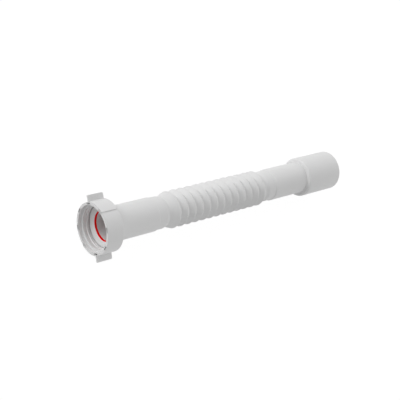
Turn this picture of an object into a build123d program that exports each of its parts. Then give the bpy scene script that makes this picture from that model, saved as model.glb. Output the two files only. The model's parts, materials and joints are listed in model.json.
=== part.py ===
from build123d import *

import os

# Flexible waste connector: a corrugated hose with a plain spigot, and a winged union nut.
# Millimetres. X runs along the pipe from the nut's mouth to the far end, Z is up.
# The origin is on the axis, where the nut's thread begins.

# Union nut, along X
mouth_depth = 4.2
thread_length = 7.9
relief_length = 5.7
nut_back_wall = 3.5
nut_back_bevel = 0.8

# Union nut, across
thread_root_r = 23.9
relief_depth = 0.4
nut_wall = 5.6
rim_width = 3.0

# Wings, and the raised pad beside each one
wing_count = 2
wing_height = 7.6
wing_thickness = 2.3
wing_length = 19.6
wing_foot_depth = 2.0
wing_back_round = 1.8
wing_front_round = 0.4
pad_rise = 0.8
pad_arc = 50.0
pad_length = 20.3
pad_corner_round = 2.5
rest_arc = 20.0

# Pockets in the nut's front rim
pocket_count = 8
pocket_inner_wall = 0.6
pocket_outer_wall = 0.5
pocket_arc = 13.0
pocket_depth = 3.0

# Collar at the hose's end, held by the nut, and the sealing ring in its groove
turning_clearance = 0.35
collar_end_gap = 0.3
collar_side_gap = 0.8
collar_thickness = 5.0
collar_ledge = 3.25
seat_depth = 2.5
lip_length = 0.1
lip_step = 0.45
groove_length = 2.5
groove_depth = 1.6
ring_stand = 0.05
ring_side_gap = 0.05

# Plain lengths of the hose
sleeve_length = 60.5
sleeve_step = 0.85
sleeve_step_length = 1.0
first_neck_length = 10.7
last_neck_length = 10.4
spigot_rise_length = 2.0
spigot_r = 20.0
spigot_length = 54.9
shoulder_face_length = 0.6
shoulder_bevel_length = 2.0
shoulder_bevel_height = 1.7
wide_r = 25.0
wide_length = 55.4
pipe_wall = 1.9

# Corrugations
crest_count = 13
pitch = 11.3
root_drop = 1.6
ridge_height = 4.4
crest_wall = 1.95
root_wall = 1.35
run_in_length = 4.8
first_flank_length = 11.5
run_out_length = 6.05

# Stations along X
nut_front_x = -mouth_depth
back_wall_x = thread_length + relief_length
nut_back_x = back_wall_x + nut_back_wall
collar_back_x = back_wall_x - collar_end_gap
collar_front_x = collar_back_x - collar_thickness
seat_end_x = collar_front_x + seat_depth
groove_front_x = seat_end_x + lip_length
groove_back_x = groove_front_x + groove_length
sleeve_end_x = collar_back_x + sleeve_length
first_neck_x = sleeve_end_x + sleeve_step_length
bellows_start_x = first_neck_x + first_neck_length
first_root_x = bellows_start_x + run_in_length
first_crest_x = first_root_x + first_flank_length
last_crest_x = first_crest_x + (crest_count - 1) * pitch
last_root_x = last_crest_x + pitch / 2
bellows_end_x = last_root_x + run_out_length
last_neck_end_x = bellows_end_x + last_neck_length
spigot_x = last_neck_end_x + spigot_rise_length
spigot_end_x = spigot_x + spigot_length
shoulder_edge_x = spigot_end_x + shoulder_face_length
wide_x = shoulder_edge_x + shoulder_bevel_length
hose_end_x = wide_x + wide_length

# Radii, from the thread inwards and along the hose
nut_r = thread_root_r + nut_wall
mouth_r = nut_r - rim_width
wing_reach = nut_r + wing_height
pad_r = nut_r + pad_rise
relief_r = thread_root_r + relief_depth
collar_r = thread_root_r - collar_side_gap
sleeve_r = collar_r - collar_ledge
nut_hole_r = sleeve_r + turning_clearance
neck_r = sleeve_r - sleeve_step
neck_bore_r = neck_r - pipe_wall
lip_r = neck_bore_r + lip_step
groove_r = neck_bore_r + groove_depth
ring_r = neck_bore_r - ring_stand
root_r = neck_r - root_drop
root_bore_r = root_r - root_wall
crest_r = root_r + ridge_height
crest_bore_r = crest_r - crest_wall
wide_bore_r = wide_r - pipe_wall

# The nut lies on its bare side, turned this far past the end of a pad
wing_turn = pad_arc + rest_arc


def section(points):
    """A closed outline in the XZ plane, given as (x, radius) points."""
    return Plane.XZ * make_face(Polyline(*points, close=True))


def rounded(face, x, r, radius):
    """The outline with its corner at (x, r) rounded."""
    corner = face.vertices().sort_by_distance((x, 0, r))[0]
    return fillet(corner, radius)


def corrugations(top_r, bottom_r):
    """From the first root up and down each ridge, with a root half a pitch behind every crest."""
    points = [(first_root_x, bottom_r)]
    for k in range(crest_count):
        crest_x = first_crest_x + k * pitch
        points += [(crest_x, top_r), (crest_x + pitch / 2, bottom_r)]
    return points


def hose_outside():
    points = [(collar_front_x, collar_r), (collar_back_x, collar_r)]
    points += [(collar_back_x, sleeve_r), (sleeve_end_x, sleeve_r)]
    points += [(first_neck_x, neck_r), (bellows_start_x, neck_r)]
    points += corrugations(crest_r, root_r)
    points += [(bellows_end_x, neck_r), (last_neck_end_x, neck_r)]
    points += [(spigot_x, spigot_r), (spigot_end_x, spigot_r)]
    points += [(shoulder_edge_x, wide_r - shoulder_bevel_height), (wide_x, wide_r)]
    points += [(hose_end_x, wide_r)]
    return points


def hose_inside():
    points = [(seat_end_x, lip_r), (groove_front_x, lip_r), (groove_front_x, groove_r)]
    points += [(groove_back_x, groove_r), (groove_back_x, neck_bore_r)]
    points += [(bellows_start_x, neck_bore_r)]
    points += corrugations(crest_bore_r, root_bore_r)
    points += [(bellows_end_x, neck_bore_r), (spigot_end_x + pipe_wall, neck_bore_r)]
    points += [(wide_x + pipe_wall, wide_bore_r), (hose_end_x, wide_bore_r)]
    return points


def corrugated_hose():
    """One moulding: collar, sleeve, corrugations, spigot and wide end."""
    return revolve(section(hose_outside() + hose_inside()[::-1]), Axis.X)


def sealing_ring():
    """A soft ring in the collar's groove, standing a little into the way through."""
    outer_r = groove_r - ring_side_gap
    inner = [(groove_front_x, ring_r), (groove_back_x, ring_r)]
    outer = [(groove_back_x, outer_r), (groove_front_x, outer_r)]
    return revolve(section(inner + outer), Axis.X)


def nut_shell():
    outside = [(nut_front_x, nut_r), (nut_back_x - nut_back_bevel, nut_r)]
    outside += [(nut_back_x, nut_r - nut_back_bevel)]
    inside = [(nut_front_x, mouth_r), (0, mouth_r), (0, thread_root_r)]
    inside += [(thread_length, thread_root_r), (thread_length, relief_r), (back_wall_x, relief_r)]
    inside += [(back_wall_x, nut_hole_r), (nut_back_x, nut_hole_r)]
    return revolve(section(outside + inside[::-1]), Axis.X)


def wing():
    """A flat wing along the nut, pointing up, with its foot sunk into the nut's wall."""
    foot_r = nut_r - wing_foot_depth
    back_x = nut_front_x + wing_length
    tip = [(nut_front_x, wing_reach), (back_x, wing_reach)]
    face = section(tip + [(back_x, foot_r), (nut_front_x, foot_r)])
    face = rounded(face, nut_front_x, wing_reach, wing_front_round)
    face = rounded(face, back_x, wing_reach, wing_back_round)
    return extrude(face, wing_thickness / 2, both=True)


def pad():
    """A raised patch of the nut's side, from the wing round to a step with a round back corner."""
    foot_r = nut_r - pad_rise
    back_x = nut_front_x + pad_length
    top = [(nut_front_x, pad_r), (back_x, pad_r)]
    face = section(top + [(back_x, foot_r), (nut_front_x, foot_r)])
    patch = revolve(face, Axis.X, revolution_arc=pad_arc)
    corner = Rot(X=pad_arc) * Pos(back_x, 0, nut_r)
    return fillet(patch.edges().sort_by_distance(corner.position)[0], pad_corner_round)


def pocket():
    """One slot in the rim, centred on the wing's middle plane."""
    inner_r = mouth_r + pocket_inner_wall
    outer_r = nut_r - pocket_outer_wall
    floor_x = nut_front_x + pocket_depth
    front_x = nut_front_x - pocket_depth
    face = section([(front_x, inner_r), (floor_x, inner_r), (floor_x, outer_r), (front_x, outer_r)])
    return Rot(X=-pocket_arc / 2) * revolve(face, Axis.X, revolution_arc=pocket_arc)


def union_nut():
    """The nut in its place on the collar, turned to lie on its bare side."""
    nut = nut_shell()
    for k in range(wing_count):
        nut += Rot(X=k * 360 / wing_count) * (wing() + pad())
    for k in range(pocket_count):
        nut -= Rot(X=k * 360 / pocket_count) * pocket()
    return Rot(X=-wing_turn) * nut


os.makedirs("parts", exist_ok=True)
export_step(corrugated_hose(), "parts/corrugated_hose.step")
export_step(sealing_ring(), "parts/sealing_ring.step")
export_step(union_nut(), "parts/union_nut.step")
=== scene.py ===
import json
from math import acos, atan2, cos, pi, radians, sin, tan

import bpy
from mathutils import Euler, Matrix, Vector


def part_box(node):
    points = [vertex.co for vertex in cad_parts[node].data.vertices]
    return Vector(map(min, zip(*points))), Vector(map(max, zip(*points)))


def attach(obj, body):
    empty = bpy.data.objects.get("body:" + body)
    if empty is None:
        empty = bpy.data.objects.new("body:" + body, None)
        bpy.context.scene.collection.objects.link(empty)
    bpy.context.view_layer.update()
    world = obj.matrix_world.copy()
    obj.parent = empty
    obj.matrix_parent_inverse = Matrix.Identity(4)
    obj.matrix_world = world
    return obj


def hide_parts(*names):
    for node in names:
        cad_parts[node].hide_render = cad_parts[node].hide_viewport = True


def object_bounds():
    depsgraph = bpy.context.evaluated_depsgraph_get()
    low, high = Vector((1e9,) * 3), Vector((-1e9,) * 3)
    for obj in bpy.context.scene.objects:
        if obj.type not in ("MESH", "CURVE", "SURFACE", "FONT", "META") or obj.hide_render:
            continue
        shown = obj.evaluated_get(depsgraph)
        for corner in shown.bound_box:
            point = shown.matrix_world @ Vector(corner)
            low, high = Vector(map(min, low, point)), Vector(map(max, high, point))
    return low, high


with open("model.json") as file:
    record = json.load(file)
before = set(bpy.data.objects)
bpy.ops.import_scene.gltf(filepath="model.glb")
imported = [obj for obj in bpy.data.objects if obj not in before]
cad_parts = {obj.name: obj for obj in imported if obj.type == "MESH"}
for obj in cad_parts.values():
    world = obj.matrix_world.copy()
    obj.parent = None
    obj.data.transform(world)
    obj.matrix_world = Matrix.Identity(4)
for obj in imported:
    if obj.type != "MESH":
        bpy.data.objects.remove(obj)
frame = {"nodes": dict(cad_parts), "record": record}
cad_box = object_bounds()

# Lengths are in millimetres in the frame's own axes, X along the pipe, and become metres in the meshes.
MM = 0.001

# Ends and radii taken from the solids
hose_low, hose_high = (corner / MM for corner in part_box("corrugated_hose"))
nut_low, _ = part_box("union_nut")
collar_front_x = hose_low.x
hose_end_x = hose_high.x
wide_r = hose_high.z
nut_front_x = nut_low.x / MM
thread_mount = next(m for m in frame["record"]["mounts"] if m["name"] == "nut_thread")
thread_root_r = thread_mount["dims"]["r_mm"]

# Collar
collar_r = 23.4
collar_back_x = 13.3
seat_end_x = 10.8
lip_r = 17.55
lip_round = 0.1
groove_front_x = 10.9
groove_back_x = 13.4
groove_r = 18.7
small_round = 0.2

# Plain lengths of the hose
sleeve_r = 19.85
sleeve_end_x = 73.8
neck_r = 19.0
first_neck_x = 74.8
bellows_start_x = 85.5
bellows_end_x = 249.6
last_neck_end_x = 260.2
spigot_x = 261.5
spigot_r = 20.0
spigot_end_x = 316.4
shoulder_edge_x = 317.0
shoulder_edge_r = 23.3
shoulder_end_x = 319.0
shoulder_round = 0.4
pipe_wall = 1.9
step_round = 0.3

# Corrugations
crest_count = 13
pitch = 11.3
first_root_x = 90.3
first_crest_x = 101.8
last_root_end_x = 246.0
crest_r = 21.8
crest_round = 0.4
crest_bore_round = 0.3
root_round = 0.4
flank_angle = radians(39.0)
bellows_wall = 1.35

# Thread, at the pitch of an 11 to the inch pipe thread. Its ridge is lower and softer than a full one.
thread_pitch = 2.309
thread_width = 2.25
thread_depth = 0.8
thread_sunk = 0.1
thread_points = 10
thread_turns = 1.9
thread_middle_angle = 3 * pi
thread_middle_x = 4.9
thread_fade = radians(70)
thread_end_share = 0.1
thread_step = radians(4)

# Camera, measured from the middle of the nut's front rim with the wings nearly upright.
# The nut lies further round than that, so the view turns with it about the pipe.
camera_offset = Vector((-504.9, -749.6, 301.1))
camera_yaw = radians(41.33)
camera_pitch = radians(16.67)
camera_lens = 79.2
camera_sensor = 36.0
camera_reach = 100000.0
nut_turn = radians(-59.3)
view_turn = Matrix.Rotation(nut_turn, 4, "X")

# Light and floor. The key's direction is the one before the view's turn.
key_from = Vector((-0.66, 0.181, 0.703))
key_strength = 1.67
key_spread = radians(40)
room_level = 0.614
room_lean = 0.6
floor_reach = 12000.0
floor_colour = (0.8, 0.8, 0.8, 1.0)
floor_lift = 0.85
floor_white = 1.1
full_white = (1.0, 1.0, 1.0, 1.0)

# Moulded skins: colour, gloss, grain and soft edges
plastic_colour = (0.75, 0.75, 0.75)
plastic_tint = (0.77, 0.77, 0.77)
hose_roughness = 0.5
nut_roughness = 0.46
plastic_rough_spread = 0.06
plastic_grain = 0.03
plastic_shine = 0.5
nut_edge = 0.5
rubber_colour = (0.95, 0.002, 0.002)
rubber_tint = (0.99, 0.004, 0.004)
rubber_roughness = 0.6
rubber_rough_spread = 0.08
rubber_grain = 0.1
rubber_shine = 0.1
rubber_edge = 0.2
cloud_scale = 60.0
cloud_detail = 3.0
grain_scale = 900.0
grain_detail = 2.0
grain_height = 0.1
edge_samples = 8

# Fineness of the turned mesh
SEGMENTS = 160
ARC_STEP = radians(15)
ARC_LEAST_STEPS = 2

# Sockets of the mix node when it mixes colours
MIX_SHARE = 0
MIX_FROM = 6
MIX_TO = 7
MIX_RESULT = 2


def rounded_outline(corners):
    """An outline's points from (x, r, round) corners, with each round drawn as an arc.

    Returns (x, r, sharp) points, where sharp marks a corner that has no round.
    """
    count = len(corners)
    points = []
    for i, (x, r, radius) in enumerate(corners):
        here = Vector((x, r))
        back = (Vector(corners[i - 1][:2]) - here).normalized()
        ahead = (Vector(corners[(i + 1) % count][:2]) - here).normalized()
        opening = acos(max(-1.0, min(1.0, back.dot(ahead))))
        if radius == 0:
            points.append((x, r, True))
            continue
        start = here + back * radius / tan(opening / 2)
        centre = here + (back + ahead).normalized() * radius / sin(opening / 2)
        spoke = start - centre
        turn = pi - opening
        if back.x * ahead.y - back.y * ahead.x > 0:
            turn = -turn
        steps = max(ARC_LEAST_STEPS, round(abs(turn) / ARC_STEP))
        for k in range(steps + 1):
            angle = turn * k / steps
            px = centre.x + spoke.x * cos(angle) - spoke.y * sin(angle)
            pr = centre.y + spoke.x * sin(angle) + spoke.y * cos(angle)
            points.append((px, pr, False))
    return points


def place(name, vertices, faces):
    """A smooth piece made of the given vertices and faces, put in the scene."""
    mesh = bpy.data.meshes.new(name)
    mesh.from_pydata(vertices, [], faces)
    mesh.shade_smooth()
    piece = bpy.data.objects.new(name, mesh)
    bpy.context.collection.objects.link(piece)
    return piece


def lathe(name, corners):
    """A closed mesh made by turning an outline of (x, r, round) corners about X."""
    outline = rounded_outline(corners)
    rings = len(outline)
    vertices = []
    for k in range(SEGMENTS):
        angle = 2 * pi * k / SEGMENTS
        for x, r, _ in outline:
            vertices.append((x * MM, -r * sin(angle) * MM, r * cos(angle) * MM))
    faces = []
    for k in range(SEGMENTS):
        here = k * rings
        there = ((k + 1) % SEGMENTS) * rings
        for i in range(rings):
            j = (i + 1) % rings
            faces.append((here + i, there + i, there + j, here + j))
    piece = place(name, vertices, faces)
    sharp = piece.data.attributes.new("sharp_edge", "BOOLEAN", "EDGE")
    for edge in piece.data.edges:
        a, b = edge.vertices
        sharp.data[edge.index].value = a % rings == b % rings and outline[a % rings][2]
    return piece


def wave(top_r, top_round, bottom_round):
    """Corners along the corrugations, from the first root to the last one.

    The flanks between the crests keep their angle, so a crest's or a root's corner lies beyond its round.
    The first flank is longer and flatter, and the last root stays level before the rise to the neck.
    """
    beyond = 1 / cos(flank_angle) - 1
    peak = top_r + top_round * beyond
    foot = peak - pitch / 2 * tan(flank_angle)
    bottom_r = foot + bottom_round * beyond
    first_angle = atan2(top_r - bottom_r, first_crest_x - first_root_x)
    first_peak = top_r + top_round * (1 / cos((first_angle + flank_angle) / 2) - 1)
    corners = [(first_root_x, bottom_r, bottom_round)]
    for k in range(crest_count):
        x = first_crest_x + k * pitch
        corners += [(x, peak, top_round), (x + pitch / 2, foot, bottom_round)]
    corners[1] = (first_crest_x, first_peak, top_round)
    corners[-1] = (corners[-1][0], bottom_r, bottom_round)
    corners.append((last_root_end_x, bottom_r, step_round))
    return corners


def hose_corners():
    """The hose's whole section: along the outside from the collar, and back along the bore."""
    drop = bellows_wall / cos(flank_angle)
    beyond = 1 / cos(flank_angle) - 1
    crest_bore_r = crest_r + (crest_round - crest_bore_round) * beyond - drop
    neck_bore_r = neck_r - pipe_wall
    wide_bore_r = wide_r - pipe_wall
    outside = [(collar_front_x, collar_r, small_round), (collar_back_x, collar_r, small_round)]
    outside += [(collar_back_x, sleeve_r, small_round), (sleeve_end_x, sleeve_r, small_round)]
    outside += [(first_neck_x, neck_r, small_round), (bellows_start_x, neck_r, step_round)]
    outside += wave(crest_r, crest_round, root_round)
    outside += [(bellows_end_x, neck_r, step_round), (last_neck_end_x, neck_r, step_round)]
    outside += [(spigot_x, spigot_r, step_round), (spigot_end_x, spigot_r, small_round)]
    outside += [(shoulder_edge_x, shoulder_edge_r, shoulder_round)]
    outside += [(shoulder_end_x, wide_r, shoulder_round), (hose_end_x, wide_r, small_round)]
    inside = [(seat_end_x, lip_r, lip_round), (groove_front_x, lip_r, 0)]
    inside += [(groove_front_x, groove_r, 0), (groove_back_x, groove_r, 0)]
    inside += [(groove_back_x, neck_bore_r, 0), (bellows_start_x, neck_bore_r, step_round)]
    inside += wave(crest_bore_r, crest_bore_round, root_round + bellows_wall)
    inside += [(bellows_end_x, neck_bore_r, step_round)]
    inside += [(spigot_end_x + pipe_wall, neck_bore_r, small_round)]
    inside += [(shoulder_end_x + pipe_wall, wide_bore_r, small_round)]
    inside += [(hose_end_x, wide_bore_r, small_round)]
    return outside + inside[::-1]


def thread_ridge(name):
    """The nut's thread: one ridge wound inside its wall, fading into the wall at both ends."""
    sweep = thread_turns * 2 * pi
    steps = round(sweep / thread_step)
    foot_r = thread_root_r + thread_sunk
    vertices = []
    for k in range(steps + 1):
        wound = sweep * k / steps
        angle = thread_middle_angle + wound - sweep / 2
        x = thread_middle_x + thread_pitch * (wound - sweep / 2) / (2 * pi)
        fade = min(1.0, wound / thread_fade, (sweep - wound) / thread_fade)
        share = max(thread_end_share, fade)
        rise = thread_sunk + thread_depth * share
        for i in range(thread_points + 1):
            across = 2 * i / thread_points - 1
            r = foot_r - rise * (1 + cos(pi * across)) / 2
            along = x + across * share * thread_width / 2
            vertices.append((along * MM, -r * sin(angle) * MM, r * cos(angle) * MM))
    ring = thread_points + 1
    faces = [tuple(reversed(range(ring))), tuple(range(ring * steps, ring * (steps + 1)))]
    for k in range(steps):
        here = ring * k
        there = here + ring
        for i in range(ring):
            j = (i + 1) % ring
            faces.append((here + j, there + j, there + i, here + i))
    return place(name, vertices, faces)


class Nodes:
    """A node tree that is built by naming nodes and linking their sockets."""

    def __init__(self, tree):
        self.tree = tree
        tree.nodes.clear()

    def add(self, kind, **values):
        node = self.tree.nodes.new("ShaderNode" + kind)
        for name, value in values.items():
            setattr(node, name, value)
        return node

    def link(self, source, target):
        self.tree.links.new(source, target)


def moulded(name, colour, tint, roughness, rough_spread, grain, shine, edge=0):
    """A moulded skin: faint uneven tint and gloss, a fine grain, and soft edges where edge is given."""
    material = bpy.data.materials.new(name)
    material.use_nodes = True
    n = Nodes(material.node_tree)
    output = n.add("OutputMaterial")
    shader = n.add("BsdfPrincipled")
    shader.inputs["Specular IOR Level"].default_value = shine
    where = n.add("TexCoord").outputs["Object"]
    cloud = n.add("TexNoise")
    cloud.inputs["Scale"].default_value = cloud_scale
    cloud.inputs["Detail"].default_value = cloud_detail
    n.link(where, cloud.inputs["Vector"])
    shade = n.add("Mix", data_type="RGBA")
    shade.inputs[MIX_FROM].default_value = (*colour, 1.0)
    shade.inputs[MIX_TO].default_value = (*tint, 1.0)
    n.link(cloud.outputs["Fac"], shade.inputs[MIX_SHARE])
    n.link(shade.outputs[MIX_RESULT], shader.inputs["Base Color"])
    gloss = n.add("MapRange")
    gloss.inputs["To Min"].default_value = roughness - rough_spread
    gloss.inputs["To Max"].default_value = roughness + rough_spread
    n.link(cloud.outputs["Fac"], gloss.inputs["Value"])
    n.link(gloss.outputs["Result"], shader.inputs["Roughness"])
    fine = n.add("TexNoise")
    fine.inputs["Scale"].default_value = grain_scale
    fine.inputs["Detail"].default_value = grain_detail
    n.link(where, fine.inputs["Vector"])
    bump = n.add("Bump")
    bump.inputs["Strength"].default_value = grain
    bump.inputs["Distance"].default_value = grain_height * MM
    n.link(fine.outputs["Fac"], bump.inputs["Height"])
    if edge:
        soft_edge = n.add("Bevel", samples=edge_samples)
        soft_edge.inputs["Radius"].default_value = edge * MM
        n.link(soft_edge.outputs["Normal"], bump.inputs["Normal"])
    n.link(bump.outputs["Normal"], shader.inputs["Normal"])
    n.link(shader.outputs["BSDF"], output.inputs["Surface"])
    return material


def plastic(name, roughness, edge=0):
    """The white plastic of the hose, the nut and its thread."""
    return moulded(name, plastic_colour, plastic_tint, roughness, plastic_rough_spread,
                   plastic_grain, plastic_shine, edge)


def rubber(name):
    """The red rubber of the sealing ring."""
    return moulded(name, rubber_colour, rubber_tint, rubber_roughness, rubber_rough_spread,
                   rubber_grain, rubber_shine, rubber_edge)


def seen_directly(n):
    """One where the camera, a reflection or a clear piece looks, and nought for the light itself."""
    path = n.add("LightPath")
    total = path.outputs["Is Camera Ray"]
    for kind in ("Is Glossy Ray", "Is Transmission Ray"):
        either = n.add("Math", operation="MAXIMUM")
        n.link(total, either.inputs[0])
        n.link(path.outputs[kind], either.inputs[1])
        total = either.outputs["Value"]
    return total


def floor_material():
    """A pale floor that the camera sees nearly white, with the shadow still on it."""
    material = bpy.data.materials.new("pale_floor")
    material.use_nodes = True
    n = Nodes(material.node_tree)
    output = n.add("OutputMaterial")
    matt = n.add("BsdfDiffuse")
    matt.inputs["Color"].default_value = floor_colour
    white = n.add("Emission")
    white.inputs["Strength"].default_value = floor_white
    lift = n.add("Math", operation="MULTIPLY")
    lift.inputs[1].default_value = floor_lift
    n.link(seen_directly(n), lift.inputs[0])
    blend = n.add("MixShader")
    n.link(lift.outputs["Value"], blend.inputs[0])
    n.link(matt.outputs["BSDF"], blend.inputs[1])
    n.link(white.outputs["Emission"], blend.inputs[2])
    n.link(blend.outputs["Shader"], output.inputs["Surface"])
    return material


def room():
    """A room light that is dimmer from the nut's end, and a white background where it is looked at."""
    world = bpy.data.worlds.new("room")
    world.use_nodes = True
    n = Nodes(world.node_tree)
    output = n.add("OutputWorld")
    light = n.add("Background")
    light.inputs["Color"].default_value = full_white
    along = n.add("SeparateXYZ")
    n.link(n.add("TexCoord").outputs["Generated"], along.inputs["Vector"])
    level = n.add("Math", operation="MULTIPLY_ADD")
    level.inputs[1].default_value = room_level * room_lean
    level.inputs[2].default_value = room_level
    n.link(along.outputs["X"], level.inputs[0])
    n.link(level.outputs["Value"], light.inputs["Strength"])
    white = n.add("Background")
    white.inputs["Color"].default_value = full_white
    white.inputs["Strength"].default_value = 1.0
    blend = n.add("MixShader")
    n.link(seen_directly(n), blend.inputs[0])
    n.link(light.outputs["Background"], blend.inputs[1])
    n.link(white.outputs["Background"], blend.inputs[2])
    n.link(blend.outputs["Shader"], output.inputs["Surface"])
    bpy.context.scene.world = world


def floor():
    """The stage's floor, level with the lowest point of the part."""
    level = cad_box[0][2]
    reach = floor_reach * MM
    corners = [(-reach, -reach), (reach, -reach), (reach, reach), (-reach, reach)]
    piece = place("floor", [(x, y, level) for x, y in corners], [(0, 1, 2, 3)])
    piece.data.materials.append(floor_material())


def key_light():
    """A broad sun that turns about the pipe with the view."""
    light = bpy.data.lights.new("key", "SUN")
    light.energy = key_strength
    light.angle = key_spread
    lamp = bpy.data.objects.new("key", light)
    bpy.context.collection.objects.link(lamp)
    toward = view_turn.to_3x3() @ key_from
    lamp.rotation_euler = toward.to_track_quat("Z", "Y").to_euler()


def camera():
    """The camera, turned about the pipe so that the nut stands as in the photo."""
    view = bpy.data.cameras.new("camera")
    view.lens = camera_lens
    view.sensor_width = camera_sensor
    view.clip_end = camera_reach * MM
    piece = bpy.data.objects.new("camera", view)
    bpy.context.collection.objects.link(piece)
    stand = (camera_offset + Vector((nut_front_x, 0, 0))) * MM
    aim = Euler((pi / 2 - camera_pitch, 0, -camera_yaw)).to_matrix().to_4x4()
    piece.matrix_world = view_turn @ Matrix.Translation(stand) @ aim
    bpy.context.scene.camera = piece


def dress(piece, material):
    """Gives a piece one material in place of its own."""
    piece.data.materials.clear()
    piece.data.materials.append(material)


white_plastic = plastic("white_plastic", hose_roughness)
nut_plastic = plastic("nut_plastic", nut_roughness, nut_edge)
thread_plastic = plastic("thread_plastic", nut_roughness)
red_rubber = rubber("red_rubber")

hose = lathe("hose_moulding", hose_corners())
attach(hose, "hose")
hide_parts("corrugated_hose")
dress(hose, white_plastic)

thread = thread_ridge("nut_thread_ridge")
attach(thread, "nut")
dress(thread, thread_plastic)

dress(frame["nodes"]["union_nut"], nut_plastic)
dress(frame["nodes"]["sealing_ring"], red_rubber)

floor()
room()
key_light()
camera()
bpy.context.scene.view_settings.view_transform = "Standard"
